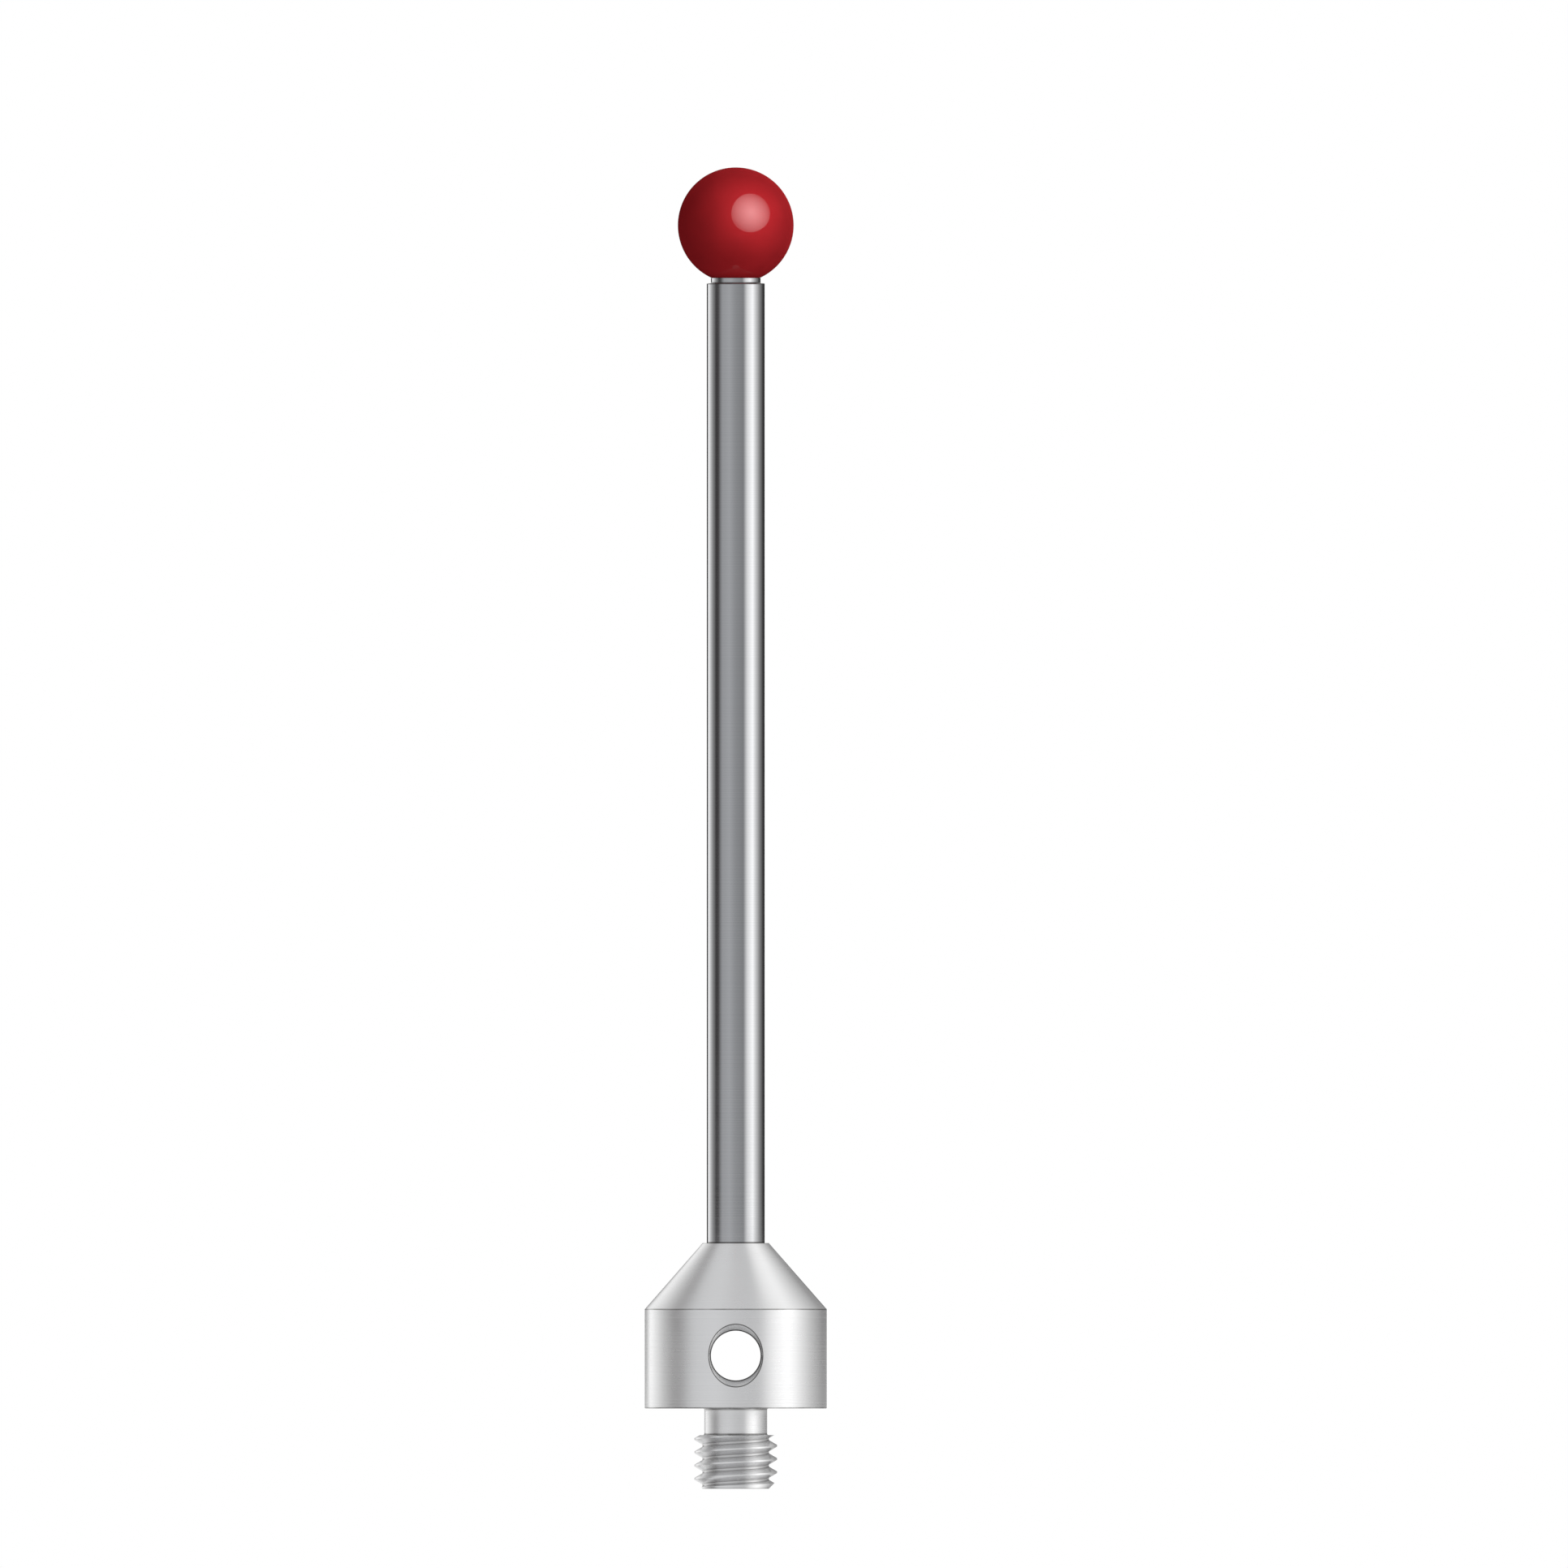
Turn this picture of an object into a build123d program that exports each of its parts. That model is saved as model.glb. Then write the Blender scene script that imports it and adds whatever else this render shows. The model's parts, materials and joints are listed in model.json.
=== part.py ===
from build123d import *
import os
from math import radians, sqrt, tan

# Stylus for a coordinate measuring machine, in millimetres
# Z runs up the stem from the holder's seating face at Z = 0 to the ball.
# The threaded stud points down, and the holder's cross hole runs along Y.

# Gauge length and ball
GAUGE_LENGTH = 75.0  # seating face to the top of the ball
BALL_DIAMETER = 7.0

# Stem with its ground neck, cup and spigot
STEM_DIAMETER = 3.5
NECK_DIAMETER = 3.0
SPIGOT_DIAMETER = 1.6
SPIGOT_LENGTH = 2.5  # shoulder to the spigot's end, inside the ball
SPIGOT_END_GAP = 0.1  # room above the spigot in the ball's blind bore
TAIL_CHAMFER = 0.15

# Holder: collar, cone and socket
COLLAR_DIAMETER = 11.0
COLLAR_LENGTH = 6.0
CONE_LENGTH = 4.0
SOCKET_LIP = 0.23  # wall round the mouth of the stem's socket
SOCKET_WEB = 0.8  # metal between the socket's floor and the cross hole

# Cross hole for the tightening pin
CROSS_HOLE_DIAMETER = 3.0
CROSS_HOLE_HEIGHT = 3.2  # seating face to the hole's axis
COUNTERSINK_DIAMETER = 3.8
COUNTERSINK_ANGLE = 90.0

# Stud: relief neck and right-hand metric thread
RELIEF_LENGTH = 1.6
RELIEF_STEP = 0.11  # how far the relief neck lies below the thread's root
THREAD_DIAMETER = 5.0
THREAD_PITCH = 0.8
THREAD_LENGTH = 3.25
THREAD_END_CHAMFER = 0.5
FLANK_ANGLE = 60.0
CREST_PER_PITCH = 1 / 8
DEPTH_PER_TRIANGLE = 17 / 24
CUTTER_TRAVEL = 1.0  # how far the thread's groove is carried past the stud's end

# Fits and edges
BOND_GAP = 0.02  # adhesive film round the stem's end, the spigot and the ball's seat
EDGE_BREAK = 0.05

# Sizes that follow from the ones above
ball_radius = BALL_DIAMETER / 2
ball_height = GAUGE_LENGTH - ball_radius
shoulder_height = GAUGE_LENGTH - BALL_DIAMETER
spigot_top = shoulder_height + SPIGOT_LENGTH
stem_radius = STEM_DIAMETER / 2
socket_radius = stem_radius + BOND_GAP
socket_floor = CROSS_HOLE_HEIGHT + CROSS_HOLE_DIAMETER / 2 + SOCKET_WEB
holder_top = COLLAR_LENGTH + CONE_LENGTH
thread_radius = THREAD_DIAMETER / 2
triangle_height = THREAD_PITCH / (2 * tan(radians(FLANK_ANGLE / 2)))
thread_depth = DEPTH_PER_TRIANGLE * triangle_height
crest_flat = CREST_PER_PITCH * THREAD_PITCH
relief_radius = thread_radius - thread_depth - RELIEF_STEP
stud_end = -RELIEF_LENGTH - THREAD_LENGTH


def turned(outline):
    """Solid of revolution about Z from a closed outline of the right half section."""
    return revolve(Plane.XZ * make_face(outline), axis=Axis.Z)


def ruby_ball():
    """Full sphere with the blind bore that the stem's spigot is bonded into."""
    bore_top = spigot_top + SPIGOT_END_GAP
    sphere = Pos(0, 0, ball_height) * Sphere(ball_radius)
    bore = Pos(0, 0, shoulder_height) * Cylinder(
        radius=SPIGOT_DIAMETER / 2 + BOND_GAP,
        height=bore_top - shoulder_height,
        align=(Align.CENTER, Align.CENTER, Align.MIN),
    )
    return sphere - bore


def stem():
    """Ground rod: chamfered tail, shoulder, neck with a spherical cup, and spigot."""
    neck_radius = NECK_DIAMETER / 2
    spigot_radius = SPIGOT_DIAMETER / 2
    cup_radius = ball_radius + BOND_GAP

    def on_cup(radius):
        return (radius, ball_height - sqrt(cup_radius**2 - radius**2))

    rim = on_cup(neck_radius)
    foot = on_cup(spigot_radius)
    cup = ThreePointArc(rim, on_cup((neck_radius + spigot_radius) / 2), foot)
    outside = Polyline(
        (0, socket_floor),
        (stem_radius - TAIL_CHAMFER, socket_floor),
        (stem_radius, socket_floor + TAIL_CHAMFER),
        (stem_radius, shoulder_height - EDGE_BREAK),
        (stem_radius - EDGE_BREAK, shoulder_height),
        (neck_radius, shoulder_height),
        rim,
    )
    inside = Polyline(foot, (spigot_radius, spigot_top), (0, spigot_top), (0, socket_floor))
    return turned([*outside.edges(), cup, *inside.edges()])


def cross_hole():
    """Through hole along Y, countersunk where it breaks out of the collar."""
    hole_radius = CROSS_HOLE_DIAMETER / 2
    collar_radius = COLLAR_DIAMETER / 2
    slope = tan(radians(COUNTERSINK_ANGLE / 2))
    sink_depth = (COUNTERSINK_DIAMETER / 2 - hole_radius) / slope
    past_wall = collar_radius + sink_depth
    half = make_face(
        Polyline(
            (0, 0),
            (hole_radius, 0),
            (hole_radius, collar_radius - sink_depth),
            (hole_radius + 2 * sink_depth * slope, past_wall),
            (0, past_wall),
            close=True,
        )
    )
    one_side = revolve(half, axis=Axis.Y)
    return Pos(0, 0, CROSS_HOLE_HEIGHT) * (one_side + mirror(one_side, Plane.XZ))


def thread_groove():
    """Right-hand helical groove that runs out in the relief neck and past the stud's end."""
    start = stud_end - CUTTER_TRAVEL
    finish = -RELIEF_LENGTH / 2
    flank_slope = tan(radians(FLANK_ANGLE / 2))
    overrun = crest_flat / 2
    outer = thread_radius + overrun
    root = thread_radius - thread_depth
    outer_half = (THREAD_PITCH - crest_flat) / 2 + overrun * flank_slope
    root_half = outer_half - (thread_depth + overrun) * flank_slope
    profile = Plane.XZ * make_face(
        Polyline(
            (root, start - root_half),
            (outer, start - outer_half),
            (outer, start + outer_half),
            (root, start + root_half),
            close=True,
        )
    )
    path = Helix(THREAD_PITCH, finish - start, thread_radius, center=(0, 0, start))
    return sweep(profile, path=path, is_frenet=True)


def holder():
    """Turned collar and cone with the stem's socket, the cross hole and the threaded stud."""
    collar_radius = COLLAR_DIAMETER / 2
    blank = turned(
        Polyline(
            (0, socket_floor),
            (socket_radius, socket_floor),
            (socket_radius, holder_top),
            (socket_radius + SOCKET_LIP, holder_top),
            (collar_radius, COLLAR_LENGTH),
            (collar_radius, EDGE_BREAK),
            (collar_radius - EDGE_BREAK, 0),
            (relief_radius, 0),
            (relief_radius, -RELIEF_LENGTH),
            (thread_radius, -RELIEF_LENGTH),
            (thread_radius, stud_end + THREAD_END_CHAMFER),
            (thread_radius - THREAD_END_CHAMFER, stud_end),
            (0, stud_end),
            close=True,
        )
    )
    return blank - cross_hole() - thread_groove()


os.makedirs("parts", exist_ok=True)
export_step(ruby_ball(), "parts/ruby_ball.step")
export_step(stem(), "parts/stem.step")
export_step(holder(), "parts/holder.step")
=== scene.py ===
# %% [markdown]
# # Dressing a measuring stylus
# A stylus is the feeler of a measuring machine: a ruby ball on a slim carbide stem, bonded into a steel
# holder. The solids that this script loads already have the true sizes, but their surfaces are made of
# coarse flat facets. Polished metal shows every facet as a broken reflection, so each piece is made
# again here as a fine mesh. The sizes are read from the loaded solids and from the record wherever
# these hold them.

import json
from math import acos, atan2, ceil, cos, degrees, hypot, pi, radians, sin, sqrt, tan

import bmesh
import bpy
from mathutils import Matrix, Vector


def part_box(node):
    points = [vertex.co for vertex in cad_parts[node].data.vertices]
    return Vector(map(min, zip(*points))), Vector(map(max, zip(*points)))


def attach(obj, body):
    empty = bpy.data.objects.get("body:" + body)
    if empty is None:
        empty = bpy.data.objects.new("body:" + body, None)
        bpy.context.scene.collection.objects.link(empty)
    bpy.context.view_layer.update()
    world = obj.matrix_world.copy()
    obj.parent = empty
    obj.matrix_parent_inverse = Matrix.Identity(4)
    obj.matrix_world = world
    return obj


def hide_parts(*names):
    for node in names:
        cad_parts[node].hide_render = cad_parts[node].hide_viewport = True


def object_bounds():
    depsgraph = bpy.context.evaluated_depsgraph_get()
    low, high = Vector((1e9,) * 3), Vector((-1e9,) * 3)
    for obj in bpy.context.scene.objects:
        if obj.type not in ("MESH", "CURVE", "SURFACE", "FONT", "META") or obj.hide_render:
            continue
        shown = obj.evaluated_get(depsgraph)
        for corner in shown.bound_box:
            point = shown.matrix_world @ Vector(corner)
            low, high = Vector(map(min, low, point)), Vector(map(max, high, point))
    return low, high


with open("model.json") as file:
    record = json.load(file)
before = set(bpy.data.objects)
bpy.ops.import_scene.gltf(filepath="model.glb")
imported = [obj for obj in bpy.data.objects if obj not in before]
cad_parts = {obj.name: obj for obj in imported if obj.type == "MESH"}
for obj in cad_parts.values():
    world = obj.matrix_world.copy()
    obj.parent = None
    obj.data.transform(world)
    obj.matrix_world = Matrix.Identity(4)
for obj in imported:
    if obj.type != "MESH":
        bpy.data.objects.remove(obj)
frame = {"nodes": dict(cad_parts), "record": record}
cad_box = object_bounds()
MM = 0.001
print("solids:", sorted(frame["nodes"]), "box in mm:", [[round(v / MM, 2) for v in c] for c in cad_box])

# %% [markdown]
# ## The view
# The reference is a front elevation: parallel lines stay parallel and nothing shrinks with distance. An
# orthographic camera draws in the same way. It needs no lens, only the width of the world that fills
# the picture. That width, and where the camera stands, follow from the drawing's scale and from two
# lines that are easy to find in it: the stylus axis and the seating face.

# %% Camera
PICTURE_SIDE = 1932  # pixels
PIXELS_PER_MM = 20.39
AXIS_COLUMN = 906.55  # pixels from the left edge to the stylus axis
SEAT_ROW = 1735.5  # pixels from the top edge to the seating face
CAMERA_DISTANCE = 300 * MM

camera_data = bpy.data.cameras.new("front_view")
camera_data.type = "ORTHO"
camera_data.ortho_scale = PICTURE_SIDE / PIXELS_PER_MM * MM
camera_data.clip_start = 10 * MM
camera_data.clip_end = 5000 * MM
camera = bpy.data.objects.new("front_view", camera_data)
bpy.context.scene.collection.objects.link(camera)
camera.location = (
    (PICTURE_SIDE / 2 - AXIS_COLUMN) / PIXELS_PER_MM * MM,
    -CAMERA_DISTANCE,
    (SEAT_ROW - PICTURE_SIDE / 2) / PIXELS_PER_MM * MM,
)
camera.rotation_euler = (radians(90), 0, 0)
bpy.context.scene.camera = camera
bpy.context.scene.view_settings.view_transform = "Standard"
print("picture width in mm:", round(camera_data.ortho_scale / MM, 2))

# %% [markdown]
# ## Nodes in few words
# Worlds, lamps and materials are all small graphs of nodes. A few helpers keep the graphs short to
# read: `node` adds one node with its settings and its inputs, and an input may be a plain value or
# another node's output. `maths`, `between` and `fade` are the kinds of node that this scene needs
# most, and `object_parts` tells where on its piece a spot lies.

# %% Node helpers
def plug(tree, socket, value):
    """Sets an input socket, or wires it if the value is an output of another node."""
    if isinstance(value, bpy.types.NodeSocket):
        tree.links.new(value, socket)
    else:
        socket.default_value = value


def node(tree, kind, inputs=None, **settings):
    """A new node of this kind, with its settings and its inputs by name or number."""
    made = tree.nodes.new("ShaderNode" + kind)
    for name, value in settings.items():
        setattr(made, name, value)
    for name, value in (inputs or {}).items():
        plug(tree, made.inputs[name], value)
    return made


def maths(tree, operation, *values):
    """The output of one Math node."""
    return node(tree, "Math", dict(enumerate(values)), operation=operation).outputs[0]


def between(tree, factor, low, high):
    """Goes evenly from low to high while the factor goes from 0 to 1."""
    return node(tree, "MapRange", {"Value": factor, "To Min": low, "To Max": high}).outputs[0]


def fade(tree, value, start, end, first=0.0, last=1.0):
    """Goes smoothly from first to last while the value goes from start to end."""
    limits = {"Value": value, "From Min": start, "From Max": end, "To Min": first, "To Max": last}
    return node(tree, "MapRange", limits, interpolation_type="SMOOTHSTEP").outputs[0]


def object_parts(tree):
    """The X, Y and Z of each spot, in the piece's own frame."""
    return node(tree, "SeparateXYZ", {0: node(tree, "TexCoord").outputs["Object"]}).outputs


def grey(level):
    return (level, level, level, 1.0)


# %% [markdown]
# ## White room and pale floor
# The room is plain white to the camera, to reflections and through clear things, and a softer grey as a
# light on matt surfaces, so that a colour renders about as bright as it is written. The Light Path node
# tells these rays apart. The stylus stands on the end of its stud, so the floor lies there. From
# straight in front it is seen exactly edge-on and vanishes, and from above it carries the soft shadow.
# To the camera the floor glows a little, so that it is nearly as white as the room behind it, and the
# underside is clear, so that the piece can be looked at from below as well.

# %% World and floor
ROOM_LIGHT = 0.45
FLOOR_RADIUS = 3000 * MM
FLOOR_TONE = 0.86
FLOOR_GLOW = 0.27
FLOOR_ROUGHNESS = 0.9
FLOOR_SEGMENTS = 64
FLOOR_GAP = 0.02 * MM  # between the stud's end and the floor, so that the two never fall on one plane


def in_sight(tree):
    """1 for rays that show things: straight to the eye, mirrored, or through something clear."""
    path = node(tree, "LightPath").outputs
    seen = maths(tree, "MAXIMUM", path["Is Camera Ray"], path["Is Glossy Ray"])
    return maths(tree, "MAXIMUM", seen, path["Is Transmission Ray"])


world = bpy.data.worlds.new("white_room")
bpy.context.scene.world = world
world.use_nodes = True
room = world.node_tree
room.nodes.clear()
strength = between(room, in_sight(room), ROOM_LIGHT, 1.0)
background = node(room, "Background", {"Color": grey(1.0), "Strength": strength})
node(room, "OutputWorld", {"Surface": background.outputs[0]})

floor_material = bpy.data.materials.new("pale_floor")
floor_material.use_nodes = True
ground = floor_material.node_tree
floor_shader = ground.nodes["Principled BSDF"]
floor_shader.inputs["Base Color"].default_value = grey(FLOOR_TONE)
floor_shader.inputs["Roughness"].default_value = FLOOR_ROUGHNESS
floor_shader.inputs["Specular IOR Level"].default_value = 0.0
floor_shader.inputs["Emission Color"].default_value = grey(1.0)
floor_glow = maths(ground, "MULTIPLY", in_sight(ground), FLOOR_GLOW)
plug(ground, floor_shader.inputs["Emission Strength"], floor_glow)
to_eye = node(ground, "LightPath").outputs["Is Camera Ray"]
from_below = maths(ground, "MULTIPLY", to_eye, node(ground, "NewGeometry").outputs["Backfacing"])
clear = node(ground, "BsdfTransparent").outputs[0]
faced = node(ground, "MixShader", {0: from_below, 1: floor_shader.outputs[0], 2: clear})
plug(ground, ground.nodes["Material Output"].inputs["Surface"], faced.outputs[0])

floor_mesh = bpy.data.meshes.new("floor")
sheet = bmesh.new()
bmesh.ops.create_circle(sheet, cap_ends=True, segments=FLOOR_SEGMENTS, radius=FLOOR_RADIUS)
sheet.to_mesh(floor_mesh)
sheet.free()
floor = bpy.data.objects.new("floor", floor_mesh)
bpy.context.scene.collection.objects.link(floor)
floor.location.z = cad_box[0].z - FLOOR_GAP
floor.data.materials.append(floor_material)
floor.visible_glossy = False
print("floor height in mm:", round(floor.location.z / MM, 2))

# %% [markdown]
# ## Turning on a lathe
# Every piece of a stylus is a turned or ground part: one outline, spun about the axis. A mesh is made
# in the same way. The outline is a list of corners, (radius, height, round), and a corner's round is
# the tiny break that a real edge has. It catches the light, and a mesh without it looks like paper.
# `soften` turns each round into an arc, with one more ring close by on each side, so that whatever
# marks the edge stays at the edge.

# %% Outline helpers
ARC_STEPS = 4
GUARD = 0.04  # millimetres from an edge's arc to its guard ring
GUARD_ROOM = 3  # a side gets a guard ring if it is this many times longer than the ring's distance
AXIS_MERGE = 1e-5  # millimetres: the corners that the spin leaves on the axis become one


def soften(corners):
    """The outline with its rounds as arcs: its points (radius, height), and those on an arc."""
    points, arcs = [], []
    for index, corner in enumerate(corners):
        here = Vector(corner[:2])
        if len(corner) == 2 or index in (0, len(corners) - 1):
            points.append(here)
            continue
        back = Vector(corners[index - 1][:2]) - here
        ahead = Vector(corners[index + 1][:2]) - here
        half_angle = back.angle(ahead) / 2
        reach = corner[2] / tan(half_angle)
        middle = (back.normalized() + ahead.normalized()).normalized()
        centre = here + middle * corner[2] / sin(half_angle)
        first = here + back.normalized() * reach - centre
        last = here + ahead.normalized() * reach - centre
        ways = [first.slerp(last, step / ARC_STEPS) for step in range(ARC_STEPS + 1)]
        arc = [centre + corner[2] * way for way in ways]
        guard = reach + GUARD
        if back.length > GUARD_ROOM * guard:
            points.append(here + back.normalized() * guard)
        points += arc
        if ahead.length > GUARD_ROOM * guard:
            points.append(here + ahead.normalized() * guard)
        arcs += arc
    return points, arcs


def turn(name, points, steps):
    """A closed mesh in millimetres, spun about Z from an outline that starts and ends on the axis."""
    mesh = bpy.data.meshes.new(name)
    work = bmesh.new()
    ring = [work.verts.new((point[0], 0, point[1])) for point in points]
    edges = [work.edges.new(pair) for pair in zip(ring, ring[1:])]
    about_z = {"cent": (0, 0, 0), "axis": (0, 0, 1), "angle": 2 * pi, "use_merge": True}
    bmesh.ops.spin(work, geom=ring + edges, steps=steps, **about_z)
    bmesh.ops.remove_doubles(work, verts=work.verts, dist=AXIS_MERGE)
    bmesh.ops.recalc_face_normals(work, faces=work.faces)
    work.to_mesh(mesh)
    work.free()
    piece = bpy.data.objects.new(name, mesh)
    bpy.context.scene.collection.objects.link(piece)
    return piece


# %% [markdown]
# ## Sizes from the solids
# The ball, the stem and the holder's reach come straight from the boxes of the loaded solids. The
# record's two mounts give the cross hole and the thread. Only what neither of them holds is given here.

# %% Sizes in millimetres
def in_mm(value):
    return round(value / MM, 3)


ball_low, ball_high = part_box("ruby_ball")
stem_low, stem_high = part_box("stem")
holder_low, holder_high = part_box("holder")
mounts = {mount["name"]: mount for mount in frame["record"]["mounts"]}

ball_top = in_mm(ball_high.z)
ball_radius = round(in_mm(ball_high.x - ball_low.x) / 2, 2)
ball_height = ball_top - ball_radius
shoulder_height = ball_top - 2 * ball_radius
stem_radius = round(in_mm(stem_high.x - stem_low.x) / 2, 2)
stem_foot = in_mm(stem_low.z)
spigot_top = in_mm(stem_high.z)
collar_radius = round(in_mm(holder_high.x - holder_low.x) / 2, 2)
holder_top = in_mm(holder_high.z)
stud_end = in_mm(holder_low.z)
hole_radius = mounts["cross_bore"]["dims"]["r_mm"]
hole_height = in_mm(mounts["cross_bore"]["pos_m"][2])
thread_radius = mounts["screw_seat"]["dims"]["r_mm"]
BOND_GAP = 0.02  # the adhesive film
print("ball", ball_radius, ball_height, "stem", stem_radius, stem_foot, spigot_top)
print("holder", collar_radius, holder_top, stud_end)
print("hole", hole_radius, hole_height, "thread", thread_radius)

# %% [markdown]
# ## The ruby ball
# The ball is lapped to a fraction of a micrometre, so its mesh has to be smooth as well: the outline is
# one arc with many steps, from the top down to the mouth of the blind bore that the stem's spigot is
# bonded into. A smooth mesh still has flat faces, and a curved look comes from the normals at their
# corners. For a turned piece they needn't be guessed from the neighbouring faces. A corner's normal
# points straight out from the axis, and it tilts as much as its face does. `true_normals` writes that
# down for each corner, with special rules per piece.

# %% Normals and the ball's mesh
SPIGOT_RADIUS = 0.8
BORE_END_GAP = 0.1
STEPS_ROUND = 192
SHARP_ANGLE = radians(35)
ON_AXIS = 1e-6  # millimetres within which a point counts as lying on the axis
ON_SPHERE = 0.01  # millimetres within which a face counts as lying on the sphere


def turned_normal(point, facing):
    """The normal of a surface of revolution about Z at a point, on a face that looks this way."""
    outward = Vector((point.x, point.y, 0))
    if outward.length < ON_AXIS:
        return facing.copy()
    tilt = hypot(facing.x, facing.y)
    sign = 1 if facing.x * point.x + facing.y * point.y >= 0 else -1
    normal = outward.normalized() * tilt * sign
    normal.z = facing.z
    return normal


def true_normals(piece, rule):
    """Gives each corner the normal that the rule returns, or the mesh's own where it returns None."""
    mesh = piece.data
    mesh.shade_smooth()
    mesh.set_sharp_from_angle(angle=SHARP_ANGLE)
    own = [corner.vector.copy() for corner in mesh.corner_normals]
    ruled = 0
    for face in mesh.polygons:
        for corner in face.loop_indices:
            point = mesh.vertices[mesh.loops[corner].vertex_index].co
            normal = rule(point, face.normal, face.center)
            if normal is not None:
                own[corner] = normal
                ruled += 1
    mesh.normals_split_custom_set(own)
    print(piece.name, "faces:", len(mesh.polygons), "ruled corners:", ruled, "of", len(own))


def ball_outline():
    bore_radius = SPIGOT_RADIUS + BOND_GAP
    bore_top = spigot_top + BORE_END_GAP
    mouth_angle = pi - acos(sqrt(1 - (bore_radius / ball_radius) ** 2))
    steps = STEPS_ROUND // 2
    angles = [mouth_angle * step / steps for step in range(steps + 1)]
    arc = [(ball_radius * sin(angle), ball_height + ball_radius * cos(angle)) for angle in angles]
    arc[0] = (0, ball_top)
    return arc + [(bore_radius, bore_top), (0, bore_top)]


ball = turn("ball", ball_outline(), STEPS_ROUND)
ball_centre = Vector((0, 0, ball_height))


def ball_rule(point, facing, centre):
    on_sphere = abs((centre - ball_centre).length - ball_radius) < ON_SPHERE
    return (point - ball_centre).normalized() if on_sphere else turned_normal(point, facing)


true_normals(ball, ball_rule)

# %% [markdown]
# ## The stem
# The stem is a rod of hard carbide, ground to size. Its tail sits on the floor of the holder's socket.
# At the top it steps down to a neck that ends in a cup with the ball's own curve, and the spigot
# carries the ball from inside. The cup is an arc about the ball's centre, a bond gap larger than the
# ball.

# %% The stem's mesh
NECK_RADIUS = 1.5
TAIL_CHAMFER = 0.15
GROUND_EDGE = 0.05
CUP_STEPS = 12


def stem_outline():
    cup_radius = ball_radius + BOND_GAP
    cup = []
    for step in range(CUP_STEPS + 1):
        radius = NECK_RADIUS + (SPIGOT_RADIUS - NECK_RADIUS) * step / CUP_STEPS
        cup.append((radius, ball_height - sqrt(cup_radius**2 - radius**2)))
    return soften(
        [
            (0, stem_foot),
            (stem_radius - TAIL_CHAMFER, stem_foot, GROUND_EDGE),
            (stem_radius, stem_foot + TAIL_CHAMFER, GROUND_EDGE),
            (stem_radius, shoulder_height, GROUND_EDGE),
            (NECK_RADIUS, shoulder_height, GROUND_EDGE),
            *cup,
            (SPIGOT_RADIUS, spigot_top, GROUND_EDGE),
            (0, spigot_top),
        ]
    )


stem_points, stem_arcs = stem_outline()
stem = turn("rod", stem_points, STEPS_ROUND)
true_normals(stem, lambda point, facing, centre: turned_normal(point, facing))

# %% [markdown]
# ## The holder
# The holder comes off the lathe as one piece: thread, relief neck, collar, cone and the stem's socket.
# The cross hole is then drilled and countersunk from both sides, and the thread is cut last. The mesh
# follows the same order, with a Boolean modifier for each tool. Its exact solver keeps the crossing
# edges crisp. The drill is a second turned shape, laid along Y. The thread tool is a rounded trapezoid
# that climbs one pitch for each turn, from below the stud's end up into the relief neck, where a real
# tool runs out.

# %% Holder blank
COLLAR_LENGTH = 6.0
SOCKET_LIP = 0.23
RELIEF_LENGTH = 1.6
RELIEF_RADIUS = 1.9
THREAD_PITCH = 0.8
THREAD_CHAMFER = 0.5
TURNED_EDGE = 0.05
INNER_ROUND = 0.08

socket_radius = stem_radius + BOND_GAP
holder_points, holder_arcs = soften(
    [
        (0, stem_foot),
        (socket_radius, stem_foot, TURNED_EDGE / 2),
        (socket_radius, holder_top, TURNED_EDGE / 2),
        (socket_radius + SOCKET_LIP, holder_top, TURNED_EDGE),
        (collar_radius, COLLAR_LENGTH, TURNED_EDGE),
        (collar_radius, 0, TURNED_EDGE),
        (RELIEF_RADIUS, 0, INNER_ROUND),
        (RELIEF_RADIUS, -RELIEF_LENGTH, INNER_ROUND),
        (thread_radius, -RELIEF_LENGTH, TURNED_EDGE),
        (thread_radius, stud_end + THREAD_CHAMFER, TURNED_EDGE),
        (thread_radius - THREAD_CHAMFER, stud_end, TURNED_EDGE),
        (0, stud_end),
    ]
)
holder = turn("steel_holder", holder_points, 2 * STEPS_ROUND)
print("blank faces:", len(holder.data.polygons))

# %% Drill and countersink
COUNTERSINK_RADIUS = 1.9
DRILL_STEPS = 160


def drill():
    """The cutter of the cross hole, with a 45 degree countersink towards each end."""
    sink = collar_radius - (COUNTERSINK_RADIUS - hole_radius)
    past = 2 * (COUNTERSINK_RADIUS - hole_radius)
    flared = (hole_radius + past, sink + past)
    waist = (hole_radius, sink, TURNED_EDGE / 2)
    outline, _ = soften(
        [
            (0, -flared[1]),
            (flared[0], -flared[1]),
            (hole_radius, -sink, TURNED_EDGE / 2),
            waist,
            flared,
            (0, flared[1]),
        ]
    )
    cutter = turn("drill", outline, DRILL_STEPS)
    lay_along_y = Matrix.Rotation(radians(90), 4, "X")
    cutter.data.transform(Matrix.Translation((0, 0, hole_height)) @ lay_along_y)
    return cutter


# %% Thread tool
HALF_FLANK = radians(30)
FLANK_SLOPE = tan(HALF_FLANK)
THREAD_DEPTH = 17 / 24 * THREAD_PITCH * cos(HALF_FLANK)
CREST = THREAD_PITCH / 8
TOOL_START = 1.0  # below the stud's end
ROOT_ROUND = 0.06
STEPS_PER_TURN = 96


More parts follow.
